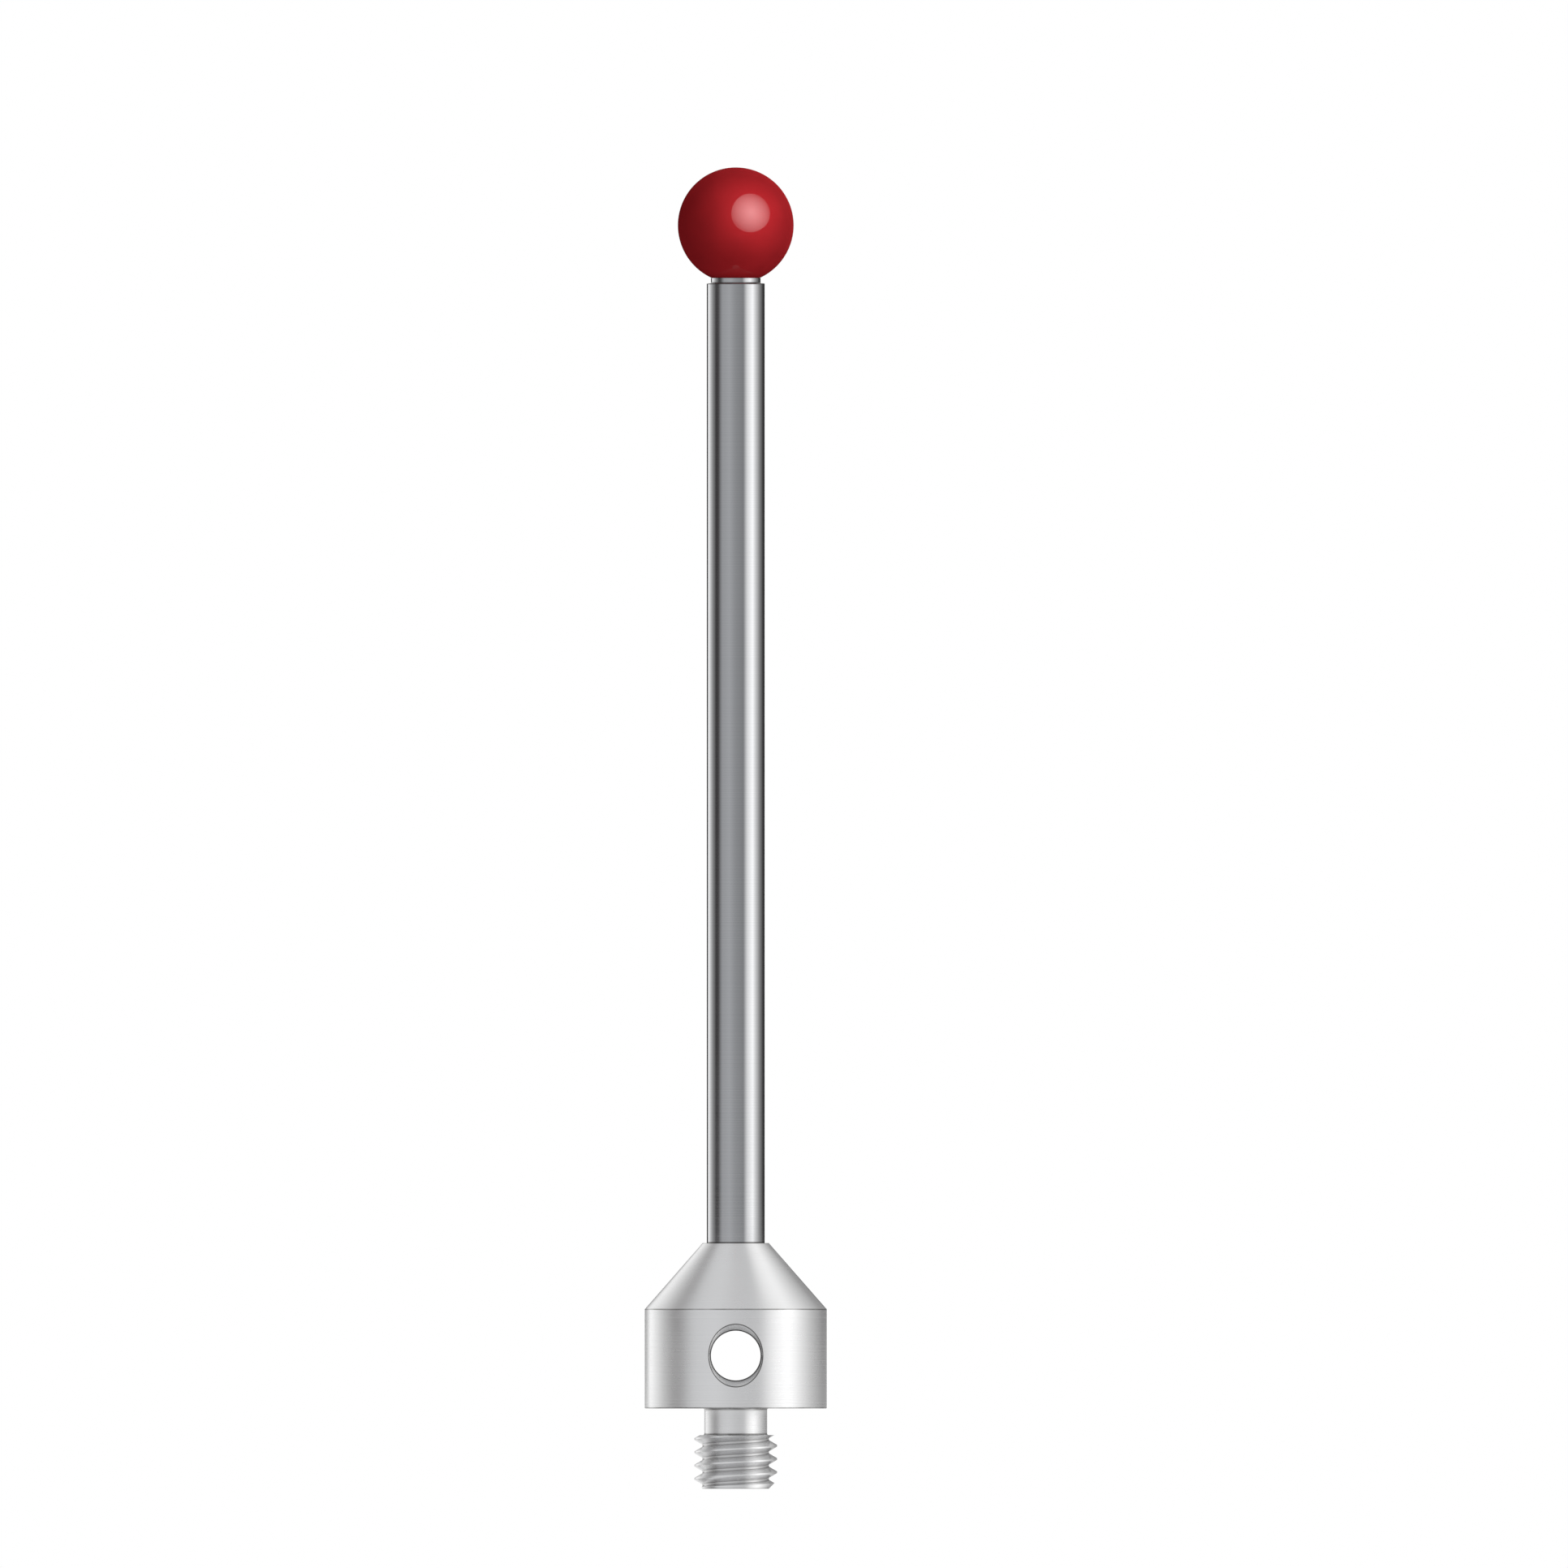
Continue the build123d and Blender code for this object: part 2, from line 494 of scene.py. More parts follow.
def thread_tool():
    """The cutter of the thread: its section at each step of the helix, closed by a cap at both ends."""
    over = CREST / 2
    outer_half = (THREAD_PITCH - CREST) / 2 + over * FLANK_SLOPE
    root_half = outer_half - (THREAD_DEPTH + over) * FLANK_SLOPE
    root, outer = thread_radius - THREAD_DEPTH, thread_radius + over
    section, _ = soften(
        [
            (outer, -outer_half),
            (root, -root_half, ROOT_ROUND),
            (root, root_half, ROOT_ROUND),
            (outer, outer_half),
        ]
    )
    start, finish = stud_end - TOOL_START, -RELIEF_LENGTH / 2
    steps = ceil((finish - start) / THREAD_PITCH * STEPS_PER_TURN)
    work = bmesh.new()
    rings = []
    for step in range(steps + 1):
        angle = 2 * pi * step / STEPS_PER_TURN
        rise = start + THREAD_PITCH * step / STEPS_PER_TURN
        rings.append(
            [work.verts.new((r * cos(angle), r * sin(angle), rise + offset)) for r, offset in section]
        )
    for one, two in zip(rings, rings[1:]):
        for index in range(len(section)):
            after = (index + 1) % len(section)
            work.faces.new((one[index], one[after], two[after], two[index]))
    work.faces.new(rings[0])
    work.faces.new(rings[-1])
    bmesh.ops.recalc_face_normals(work, faces=work.faces)
    mesh = bpy.data.meshes.new("thread_tool")
    work.to_mesh(mesh)
    work.free()
    cutter = bpy.data.objects.new("thread_tool", mesh)
    bpy.context.scene.collection.objects.link(cutter)
    return cutter


# %% Cut the holder
SAME_SPOT = 0.001  # millimetres: closer corners are merged, so that no sliver is left between them
WALL_MARGIN = 0.02  # millimetres by which a face of the cross hole lies inside the collar's wall
ROOT_MARGIN, CREST_MARGIN = 0.01, 0.001  # millimetres round the groove's depth
FLANK_SWIRL, ROOT_SWIRL = 0.03, 0.012  # how far a face of the groove turns aside along the helix
FLANK_TILT, ROOT_TILT = 0.83, 0.3  # a flank looks more upwards or downwards than this, a root less


def cut(piece, *cutters):
    """Takes the cutters away from a piece, one after the other, and removes them."""
    for cutter in cutters:
        modifier = piece.modifiers.new(cutter.name, "BOOLEAN")
        modifier.operation = "DIFFERENCE"
        modifier.solver = "EXACT"
        modifier.object = cutter
    bpy.context.view_layer.update()
    graph = bpy.context.evaluated_depsgraph_get()
    result = bpy.data.meshes.new_from_object(piece.evaluated_get(graph))
    work = bmesh.new()
    work.from_mesh(result)
    bmesh.ops.remove_doubles(work, verts=work.verts, dist=SAME_SPOT)
    work.to_mesh(result)
    work.free()
    piece.modifiers.clear()
    piece.data = result
    for cutter in cutters:
        bpy.data.objects.remove(cutter)


cut(holder, drill(), thread_tool())
print("holder faces after cutting:", len(holder.data.polygons))


def in_cross_hole(spot):
    """Whether this face centre, in millimetres, lies on the cross hole or on a countersink."""
    from_hole = hypot(spot.x, spot.z - hole_height)
    inside = hypot(spot.x, spot.y) < collar_radius - WALL_MARGIN
    return from_hole < COUNTERSINK_RADIUS + TURNED_EDGE and inside


def groove_part(facing, centre):
    """Which part of the thread's groove a face is: flank or root, and nothing for any other face."""
    from_axis = hypot(centre.x, centre.y)
    bottom = thread_radius - THREAD_DEPTH - ROOT_MARGIN
    top = thread_radius - CREST_MARGIN
    if centre.z > -RELIEF_LENGTH or not bottom < from_axis < top:
        return ""
    swirl = abs(facing.y * centre.x - facing.x * centre.y) / from_axis
    if swirl > FLANK_SWIRL and abs(facing.z) > FLANK_TILT:
        return "flank"
    return "root" if swirl > ROOT_SWIRL or abs(facing.z) < ROOT_TILT else ""


def flank_normal(point, facing, centre):
    """The normal of a flank of the thread at a point: turned, and tilted along the helix as well."""
    outward = Vector((point.x, point.y, 0)).normalized()
    along = Vector((-outward.y, outward.x, 0))
    lead = THREAD_PITCH / (2 * pi * hypot(point.x, point.y))
    steepness = (facing.x * centre.x + facing.y * centre.y) / hypot(centre.x, centre.y)
    return (outward * steepness + Vector((0, 0, facing.z)) - along * facing.z * lead).normalized()


def holder_rule(point, facing, centre):
    """Turned faces look out from the stylus axis, and the cross hole's from its own axis.

    The flanks of the thread follow the helix, and its root keeps the mesh's own normals.
    """
    if in_cross_hole(centre):
        upright = Matrix.Rotation(radians(-90), 3, "X")
        offset = point - Vector((0, 0, hole_height))
        return upright.inverted() @ turned_normal(upright @ offset, upright @ facing)
    part = groove_part(facing, centre)
    if part == "root":
        return None
    return flank_normal(point, facing, centre) if part else turned_normal(point, facing)


true_normals(holder, holder_rule)

# %% [markdown]
# ## Marks along the edges
# A broken edge looks another way than the faces beside it, and a trace of oil stays on it, so it draws
# a thin dark line. Each piece's outline says where its edges are, so a number is stored with every
# corner of every face: 1 on an edge's arc, and 0 elsewhere. The material reads it. Corners rather than
# vertices hold it, because the thread's groove cuts across two of the edges, and its own faces stay
# clean there. The faces of the cross hole are noted here as well, while lengths are still in
# millimetres, because a drill leaves another finish than a lathe.

# %% Store the edge marks and bring the pieces to metres
ON_ARC = 0.003  # millimetres within which a vertex counts as lying on an arc


def mark_edges(piece, arcs):
    """Writes the attribute edge: 1 at faces' corners on one of the outline's arcs, 0 elsewhere."""
    marks = piece.data.attributes.new("edge", "FLOAT", "CORNER")
    on_arc = []
    for vertex in piece.data.vertices:
        spot = Vector((hypot(vertex.co.x, vertex.co.y), vertex.co.z))
        on_arc.append(min(((spot - arc).length for arc in arcs), default=1.0) < ON_ARC)
    for face in piece.data.polygons:
        bare = bool(groove_part(face.normal, face.center))
        for corner in face.loop_indices:
            marked = on_arc[piece.data.loops[corner].vertex_index] and not bare
            marks.data[corner].value = float(marked)
    print(piece.name, "vertices on an edge:", sum(on_arc), "of", len(on_arc))


mark_edges(ball, [])
mark_edges(stem, stem_arcs)
mark_edges(holder, holder_arcs)
drilled = [in_cross_hole(face.center) for face in holder.data.polygons]
print("drilled faces:", sum(drilled), "of", len(drilled))
for piece in (ball, stem, holder):
    piece.data.transform(Matrix.Scale(MM, 4))

# %% [markdown]
# ## Shared effects
# Three effects serve more than one material, so each is a node group: the fine rings that a tool or a
# grinding wheel leaves, the uneven film that fingers leave, and the oil that stays along the edges.
# Each puts out a mask or a height, and the material decides what it does with it. Rings on a turned
# piece follow the tool's path along the outline. Height minus radius grows steadily along that path on
# the cylinders, on the cone and on the flat faces alike, and a noise that is read along it gives rings
# of uneven depth, as a real tool leaves them.

# %% Node groups
def group(name, inputs, outputs):
    """An empty node group with named number inputs (with their defaults) and outputs."""
    tree = bpy.data.node_groups.new(name, "ShaderNodeTree")
    for title, value in inputs.items():
        socket = tree.interface.new_socket(title, in_out="INPUT", socket_type="NodeSocketFloat")
        socket.default_value = value
    for title in outputs:
        tree.interface.new_socket(title, in_out="OUTPUT", socket_type="NodeSocketFloat")
    return tree, tree.nodes.new("NodeGroupInput").outputs, tree.nodes.new("NodeGroupOutput").inputs


def use(tree, made, **inputs):
    """Places a node group in a material, with its own values."""
    placed = tree.nodes.new("ShaderNodeGroup")
    placed.node_tree = made
    for name, value in inputs.items():
        plug(tree, placed.inputs[name.replace("_", " ")], value)
    return placed.outputs


rings, given, put = group("tool_rings", {"Spacing": 0.1, "Waver": 0.1}, ["Height"])
place = node(rings, "TexCoord").outputs["Object"]
parts = node(rings, "SeparateXYZ", {0: place}).outputs
flat = node(rings, "CombineXYZ", {"X": parts["X"], "Y": parts["Y"]}).outputs[0]
radius = node(rings, "VectorMath", {0: flat}, operation="LENGTH").outputs["Value"]
travel = maths(rings, "SUBTRACT", parts["Z"], radius)
drift = node(rings, "TexNoise", {"Vector": place, "Scale": 300.0, "Detail": 1.0}).outputs["Fac"]
travel = maths(rings, "MULTIPLY_ADD", drift, maths(rings, "MULTIPLY", given["Waver"], MM), travel)
turns = maths(rings, "DIVIDE", travel, maths(rings, "MULTIPLY", given["Spacing"], MM))
depths = {"W": turns, "Scale": 1.0, "Detail": 3.0, "Roughness": 0.6}
plug(rings, put["Height"], node(rings, "TexNoise", depths, noise_dimensions="1D").outputs["Fac"])

film, given, put = group("handling_film", {"Scale": 150.0, "Sharpness": 0.5}, ["Mask"])
place = node(film, "TexCoord").outputs["Object"]
cloud = node(film, "TexNoise", {"Vector": place, "Scale": given["Scale"], "Detail": 4.0}).outputs["Fac"]
low = maths(film, "MULTIPLY_ADD", given["Sharpness"], 0.15, 0.3)
high = maths(film, "MULTIPLY_ADD", given["Sharpness"], -0.15, 0.7)
plug(film, put["Mask"], fade(film, cloud, low, high))

oil, given, put = group("oil_lines", {"Scale": 900.0, "Amount": 0.7}, ["Mask"])
place = node(oil, "TexCoord").outputs["Object"]
gaps = {"Vector": place, "Scale": given["Scale"], "Detail": 3.0}
breakup = node(oil, "TexNoise", gaps).outputs["Fac"]
edge = node(oil, "Attribute", attribute_name="edge").outputs["Fac"]
limits = {"Value": breakup, "From Min": 0.3, "From Max": 0.6, "To Min": 0.6}
uneven = node(oil, "MapRange", limits).outputs[0]
plug(oil, put["Mask"], maths(oil, "MULTIPLY", maths(oil, "MULTIPLY", edge, given["Amount"]), uneven))
print("groups:", rings.name, film.name, oil.name)

# %% [markdown]
# ## Thin lines of painted shade
# Thin dark lines of painted shade go where two surfaces meet: round the cross hole, where they stand in
# for an edge break that the mesh doesn't have, along the bottom of the thread and where the stem enters
# the holder. Those places needn't be painted by hand or stored with the mesh, because each of them is
# where a distance from an axis or a height has a known value. A few sums in the material find it, and
# the line comes out sharp however fine or coarse the mesh is.

# %% Material helpers
RELIEF_HEIGHT = 0.01 * MM


def blend(tree, factor, one, two):
    """A colour between one and two."""
    mixed = tree.nodes.new("ShaderNodeMix")
    mixed.data_type = "RGBA"
    plug(tree, mixed.inputs["Factor"], factor)
    for socket, value in (("A", one), ("B", two)):
        colour = [s for s in mixed.inputs if s.name == socket and s.type == "RGBA"][0]
        plug(tree, colour, value)
    return [s for s in mixed.outputs if s.type == "RGBA"][0]


def material(name):
    made = bpy.data.materials.new(name)
    made.use_nodes = True
    return made, made.node_tree, made.node_tree.nodes["Principled BSDF"].inputs


def engrave(tree, shader, height, strength):
    """Fine relief on the surface, from a height that goes from 0 to 1."""
    settings = {"Strength": strength, "Distance": RELIEF_HEIGHT, "Height": height}
    plug(tree, shader["Normal"], node(tree, "Bump", settings).outputs[0])


# %% Masks for the lines
def line(tree, distance, width):
    """A mask that is 1 where the distance is near zero and 0 from this width on, both in metres."""
    return fade(tree, distance, width / 3, width, 1.0, 0.0)


def length(tree, one, two):
    """The length of the vector that has these two parts."""
    return maths(tree, "SQRT", maths(tree, "MULTIPLY_ADD", one, one, maths(tree, "MULTIPLY", two, two)))


def off(tree, value, level):
    """How far a value lies from a level."""
    return maths(tree, "ABSOLUTE", maths(tree, "SUBTRACT", value, level))


# Painted shade: the dark lines along both rims of the cross hole stand in for the shading of an edge
# break that the mesh doesn't have.
def rim_lines(tree, outer, inner):
    """A mask along both rims of the cross hole: the countersink's, and the bore's.

    At each rim two surfaces meet. A spot near it lies on one of them, so its distance to the
    other counts.
    """
    parts = object_parts(tree)
    rise = maths(tree, "SUBTRACT", parts["Z"], hole_height * MM)
    from_hole = length(tree, parts["X"], rise)
    depth = maths(tree, "ABSOLUTE", parts["Y"])
    sink = collar_radius - (COUNTERSINK_RADIUS - hole_radius)
    off_flare = off(tree, maths(tree, "SUBTRACT", from_hole, depth), (hole_radius - sink) * MM)
    off_collar = off(tree, length(tree, parts["X"], parts["Y"]), collar_radius * MM)
    off_bore = off(tree, from_hole, hole_radius * MM)
    at_collar = line(tree, maths(tree, "MAXIMUM", off_flare, off_collar), outer * MM)
    at_bore = line(tree, maths(tree, "MAXIMUM", off_flare, off_bore), inner * MM)
    return maths(tree, "MAXIMUM", at_collar, at_bore)


# Painted shade: a thin dark line along the bottom of the thread's groove, where shade falls.
def root_line(tree, width):
    """A mask along the bottom of the thread's groove."""
    parts = object_parts(tree)
    off_root = off(tree, length(tree, parts["X"], parts["Y"]), (thread_radius - THREAD_DEPTH) * MM)
    in_thread = maths(tree, "LESS_THAN", parts["Z"], (-RELIEF_LENGTH - INNER_ROUND) * MM)
    return maths(tree, "MULTIPLY", line(tree, off_root, width * MM), in_thread)


# Painted shade: a thin dark line on the stem where it enters the holder.
def mouth_line(tree, width):
    """A mask on the stem, just above the holder's mouth."""
    return line(tree, off(tree, object_parts(tree)["Z"], holder_top * MM), width * MM)


# %% [markdown]
# ## Carbide
# The stem is tungsten carbide: a dark, dense metal that bends very little and takes a fine ground
# polish. Its roughness is low, so it mirrors its surroundings in crisp bands, and its rings are closer
# than a hair is thick.

# %% Ground carbide
CARBIDE_TONES = (0.44, 0.445, 0.455, 1), (0.52, 0.523, 0.53, 1)
# The dark colour of the oil on the edges, and of the painted shade just above the holder's mouth.
CARBIDE_OIL_AND_SHADE = (0.1, 0.098, 0.096, 1)
CARBIDE_ROUGHNESS = (0.05, 0.09)
MOUTH_WIDTH = 0.1  # millimetres


def ground_carbide():
    made, tree, shader = material("ground_carbide")
    fine = use(tree, rings, Spacing=0.06, Waver=0.02)["Height"]
    touched = use(tree, film, Scale=120.0, Sharpness=0.4)["Mask"]
    # Oil on the edges, and a thin line of painted shade on the stem just above the holder's mouth.
    oil_and_shade = maths(tree, "MAXIMUM", use(tree, oil, Amount=0.9)["Mask"], mouth_line(tree, MOUTH_WIDTH))
    colour = blend(tree, fine, *CARBIDE_TONES)
    colour = blend(tree, oil_and_shade, colour, CARBIDE_OIL_AND_SHADE)
    plug(tree, shader["Base Color"], colour)
    shader["Metallic"].default_value = 1.0
    rough = maths(tree, "MULTIPLY_ADD", touched, 0.03, between(tree, fine, *CARBIDE_ROUGHNESS))
    plug(tree, shader["Roughness"], rough)
    engrave(tree, shader, fine, 0.04)
    return made


carbide = ground_carbide()
print("finish:", carbide.name, "nodes:", len(carbide.node_tree.nodes))

# %% [markdown]
# ## Steel
# Steel is paler than carbide, and a lathe leaves it satin: rougher, with rings that show when the light
# grazes them. The drill leaves the cross hole smoother and without rings, but with fine chatter. Two
# materials on one mesh are simpler than one material that has to know where it is, and each face says
# which of the two it wears.

# %% Turned steel
STEEL_TONES = (0.76, 0.76, 0.765, 1), (0.83, 0.83, 0.83, 1)
# The dark colour of the oil on the edges, and of the painted shade round the cross hole and along the
# thread's groove.
STEEL_OIL_AND_SHADE = (0.22, 0.215, 0.21, 1)
STEEL_ROUGHNESS = (0.2, 0.26)
RIM_WIDTH = 0.045  # millimetres
ROOT_WIDTH = 0.08
ROOT_SHADE = 0.35  # how dark the painted shade along the bottom of the thread is


def turned_steel():
    made, tree, shader = material("turned_steel")
    fine = use(tree, rings, Spacing=0.09, Waver=0.04)["Height"]
    coarse = use(tree, rings, Spacing=0.45, Waver=0.2)["Height"]
    touched = use(tree, film, Scale=220.0, Sharpness=0.6)["Mask"]
    oil_and_shade = use(tree, oil, Amount=0.9)["Mask"]
    # Painted shade round the cross hole and along the bottom of the thread joins the edges' oil.
    oil_and_shade = maths(tree, "MAXIMUM", oil_and_shade, rim_lines(tree, RIM_WIDTH, RIM_WIDTH))
    in_root = maths(tree, "MULTIPLY", root_line(tree, ROOT_WIDTH), ROOT_SHADE)
    oil_and_shade = maths(tree, "MAXIMUM", oil_and_shade, in_root)
    colour = blend(tree, fine, *STEEL_TONES)
    colour = blend(tree, oil_and_shade, colour, STEEL_OIL_AND_SHADE)
    plug(tree, shader["Base Color"], colour)
    shader["Metallic"].default_value = 1.0
    rough = maths(tree, "MULTIPLY_ADD", touched, 0.05, between(tree, coarse, *STEEL_ROUGHNESS))
    plug(tree, shader["Roughness"], rough)
    engrave(tree, shader, fine, 0.15)
    return made


turned = turned_steel()
print("finish:", turned.name, "nodes:", len(turned.node_tree.nodes))

# %% Drilled steel
DRILLED_TONES = (0.78, 0.78, 0.785, 1), (0.85, 0.85, 0.85, 1)
# The dark colour of the painted shade along the rims of the cross hole.
DRILLED_SHADE = (0.13, 0.127, 0.125, 1)
DRILLED_ROUGHNESS = (0.12, 0.2)
SINK_RIM_WIDTH, BORE_RIM_WIDTH = 0.05, 0.1  # millimetres


def drilled_steel():
    made, tree, shader = material("drilled_steel")
    chatter = use(tree, film, Scale=900.0, Sharpness=0.5)["Mask"]
    colour = blend(tree, chatter, *DRILLED_TONES)
    # Painted shade along both rims of the cross hole.
    colour = blend(tree, rim_lines(tree, SINK_RIM_WIDTH, BORE_RIM_WIDTH), colour, DRILLED_SHADE)
    plug(tree, shader["Base Color"], colour)
    shader["Metallic"].default_value = 1.0
    plug(tree, shader["Roughness"], between(tree, chatter, *DRILLED_ROUGHNESS))
    engrave(tree, shader, chatter, 0.1)
    return made


bored = drilled_steel()
print("finish:", bored.name, "nodes:", len(bored.node_tree.nodes))

# %% [markdown]
# ## Ruby
# Ruby isn't a metal, but light that enters the crystal comes back deep red from inside. True refraction
# would show little of that at this size and would need many more samples, so the ball has a rough red
# reflecting base for the inner glow and a clear, hard coat, with ruby's own refractive index, for the
# crisp highlight on top of it. The coat changes over the ball in two ways. Round the joint the adhesive
# has dulled it. And where it is seen at a slant, a coat turns into a mirror that would bleach the
# outline, so it fades there, as under the polarising filter that a photographer puts on for such shots.
# The Layer Weight node tells how slanted each spot is seen.

# %% Polished ruby
DULL_RING = (0.7, 1.7)  # millimetres above the shoulder between which the gloss comes back
DULL_COAT = 0.05
CLEAR_COAT = 0.85
COAT_ROUGHNESS = 0.03
FILTER = (0.45, 0.75)  # slants between which the gloss fades: 0 is seen squarely, 1 along the surface
RUBY_TONES = (0.60, 0.030, 0.038, 1), (0.65, 0.034, 0.043, 1)
RUBY_TINT = (0.6, 0.15, 0.15, 1)
RUBY_METALLIC = 0.68  # the share of the base that reflects
RUBY_ROUGHNESS = (0.69, 0.75)
RUBY_INDEX = 1.77


def polished_ruby():
    made, tree, shader = material("polished_ruby")
    cloud = use(tree, film, Scale=260.0, Sharpness=0.2)["Mask"]
    touched = use(tree, film, Scale=500.0, Sharpness=0.6)["Mask"]
    plug(tree, shader["Base Color"], blend(tree, cloud, *RUBY_TONES))
    shader["Metallic"].default_value = RUBY_METALLIC
    shader["Specular IOR Level"].default_value = 0.0
    shader["Specular Tint"].default_value = RUBY_TINT
    plug(tree, shader["Roughness"], between(tree, touched, *RUBY_ROUGHNESS))
    low, high = [(shoulder_height + rise) * MM for rise in DULL_RING]
    gloss = fade(tree, object_parts(tree)["Z"], low, high, DULL_COAT, CLEAR_COAT)
    slant = node(tree, "LayerWeight", {"Blend": 0.5}).outputs["Facing"]
    filtered = fade(tree, slant, *FILTER, 1.0, 0.0)
    plug(tree, shader["Coat Weight"], maths(tree, "MULTIPLY", gloss, filtered))
    shader["Coat IOR"].default_value = RUBY_INDEX
    shader["Coat Roughness"].default_value = COAT_ROUGHNESS
    return made


ruby = polished_ruby()
print("finish:", ruby.name, "nodes:", len(ruby.node_tree.nodes))

# %% Put the finishes on
for piece, slot, *finishes in (
    (ball, "ruby", ruby),
    (stem, "carbide", carbide),
    (holder, "turned_steel", turned, bored),
):
    for finish in finishes:
        piece.data.materials.append(finish)
    print(piece.name, "wears", [finish.name for finish in finishes])

for face, is_drilled in zip(holder.data.polygons, drilled):
    face.material_index = int(is_drilled)

# %% [markdown]
# ## Light for polished metal
# Polished metal has no look of its own: it shows what stands around it. A product studio therefore
# builds a tent of white cloth round the piece, with a bright panel on one side, grey card in front and
# a dark card where a dark band is wanted. The tent here is a sphere of cloth that only reflections see,
# so matt surfaces keep the room's light. `across` is the width fraction at which a round piece, seen
# from the front, mirrors each spot of the cloth: 0 at its left outline, 1 at its right. Strips of equal
# `across` run from below the piece over its top. The upright stem mirrors a narrow band at its own
# height, and there the cards stand bare. The holder's cone, thread and satin collar look higher or
# lower, where a second layer of cloth hangs before the cards: it lifts the dark ones and dims the
# bright ones, which keeps the steel pale and soft beside the carbide. Grey card is a little blue and
# black card a little red, so the greys of the metal aren't all the same.

# %% Light tent
TENT_RADIUS = 500 * MM
TENT_CENTRE = 37 * MM
TENT_SUBDIVISIONS = 5
PAST_POLE = 1.000001  # just over 1, so that the division by it less a direction never meets zero
CLOTH = (1.0, 1.0, 1.0)
GREY = (0.975, 0.99, 1.02)
BLACK = (1.04, 0.98, 1.0)
PANELS = [  # across, brightness, and the tint of the cloth or card that stands there
    (0.000, 0.06, BLACK),
    (0.008, 0.08, BLACK),
    (0.016, 2.00, CLOTH),
    (0.055, 1.22, CLOTH),
    (0.105, 0.48, CLOTH),
    (0.160, 0.08, BLACK),
    (0.200, 0.10, BLACK),
    (0.268, 0.60, GREY),
    (0.390, 0.70, GREY),
    (0.500, 0.51, GREY),
    (0.632, 0.40, GREY),
    (0.705, 1.42, CLOTH),
    (0.790, 2.00, CLOTH),
    (0.850, 1.12, CLOTH),
    (0.912, 0.44, CLOTH),
    (0.970, 0.05, BLACK),
    (1.000, 0.04, BLACK),
]
BRIGHTEST = 2.0
BAND_LOW, BAND_HIGH = 8 * MM, 74 * MM  # heights between which the dark cards stand
BAND_FADE = 4 * MM
HIGH_FADE = 16 * MM
BEHIND_TONE = 0.05
BEHIND = (0.472, 0.480)  # how far from the middle a black card stands, behind the piece
HIGH_VEIL = (0.18, 0.69, 0.5)  # lift, gain and curve of a second layer of cloth above the band
LOW_VEIL = (0.18, 0.68, 0.22)  # the same just below the band
DEEP_VEIL = (0.15, 0.77, 0.65)  # and far below it
DEEP = (-140 * MM, -90 * MM)


def veiled(tree, cards, lift, gain, curve):
    """The cards as they look through a second layer of cloth."""
    evened = node(tree, "Gamma", {"Color": cards, "Gamma": curve}).outputs[0]
    veil = {0: evened, 1: [gain] * 3, 2: [lift] * 3}
    return node(tree, "VectorMath", veil, operation="MULTIPLY_ADD").outputs[0]


def tent_material():
    made = bpy.data.materials.new("tent_cloth")
    made.use_nodes = True
    made.cycles.emission_sampling = "NONE"
    tree = made.node_tree
    tree.nodes.clear()
    place = node(tree, "TexCoord").outputs["Object"]
    outward = node(tree, "VectorMath", {0: place}, operation="NORMALIZE").outputs["Vector"]
    way = node(tree, "SeparateXYZ", {0: outward}).outputs
    slope = maths(tree, "DIVIDE", way["X"], maths(tree, "SUBTRACT", PAST_POLE, way["Y"]))
    sine = maths(tree, "SINE", maths(tree, "ARCTANGENT", slope))
    across = maths(tree, "MULTIPLY_ADD", sine, 0.5, 0.5)
    ramp = node(tree, "ValToRGB", {"Fac": across})
    stops = ramp.color_ramp.elements
    while len(stops) > 1:
        stops.remove(stops[-1])
    for index, (spot, level, tint) in enumerate(PANELS):
        stop = stops[0] if index == 0 else stops.new(spot)
        stop.position = spot
        stop.color = [level * part / BRIGHTEST for part in tint] + [1.0]
    scaled = {0: ramp.outputs["Color"], "Scale": BRIGHTEST}
    cards = node(tree, "VectorMath", scaled, operation="SCALE").outputs[0]
    band = blend(tree, fade(tree, off(tree, across, 0.5), *BEHIND), cards, grey(BEHIND_TONE))
    height = maths(tree, "ADD", node(tree, "SeparateXYZ", {0: place}).outputs["Z"], TENT_CENTRE)
    cloth = veiled(tree, cards, *DEEP_VEIL)
    cloth = blend(tree, fade(tree, height, *DEEP), cloth, veiled(tree, cards, *LOW_VEIL))
    cloth = blend(tree, fade(tree, height, BAND_LOW - BAND_FADE, BAND_LOW), cloth, band)
    above = fade(tree, height, BAND_HIGH, BAND_HIGH + HIGH_FADE)
    cloth = blend(tree, above, cloth, veiled(tree, cards, *HIGH_VEIL))
    glow = node(tree, "Emission", {"Color": cloth, "Strength": 1.0})
    node(tree, "OutputMaterial", {"Surface": glow.outputs[0]})
    return made


tent_mesh = bpy.data.meshes.new("light_tent")
work = bmesh.new()
bmesh.ops.create_icosphere(work, subdivisions=TENT_SUBDIVISIONS, radius=TENT_RADIUS)
work.to_mesh(tent_mesh)
work.free()
tent = bpy.data.objects.new("light_tent", tent_mesh)
bpy.context.scene.collection.objects.link(tent)
tent.location.z = TENT_CENTRE
tent.data.materials.append(tent_material())
for kind in ("camera", "diffuse", "transmission", "shadow", "volume_scatter"):
    setattr(tent, "visible_" + kind, False)
print("tent faces:", len(tent_mesh.polygons), "stops on the ramp:", len(PANELS))

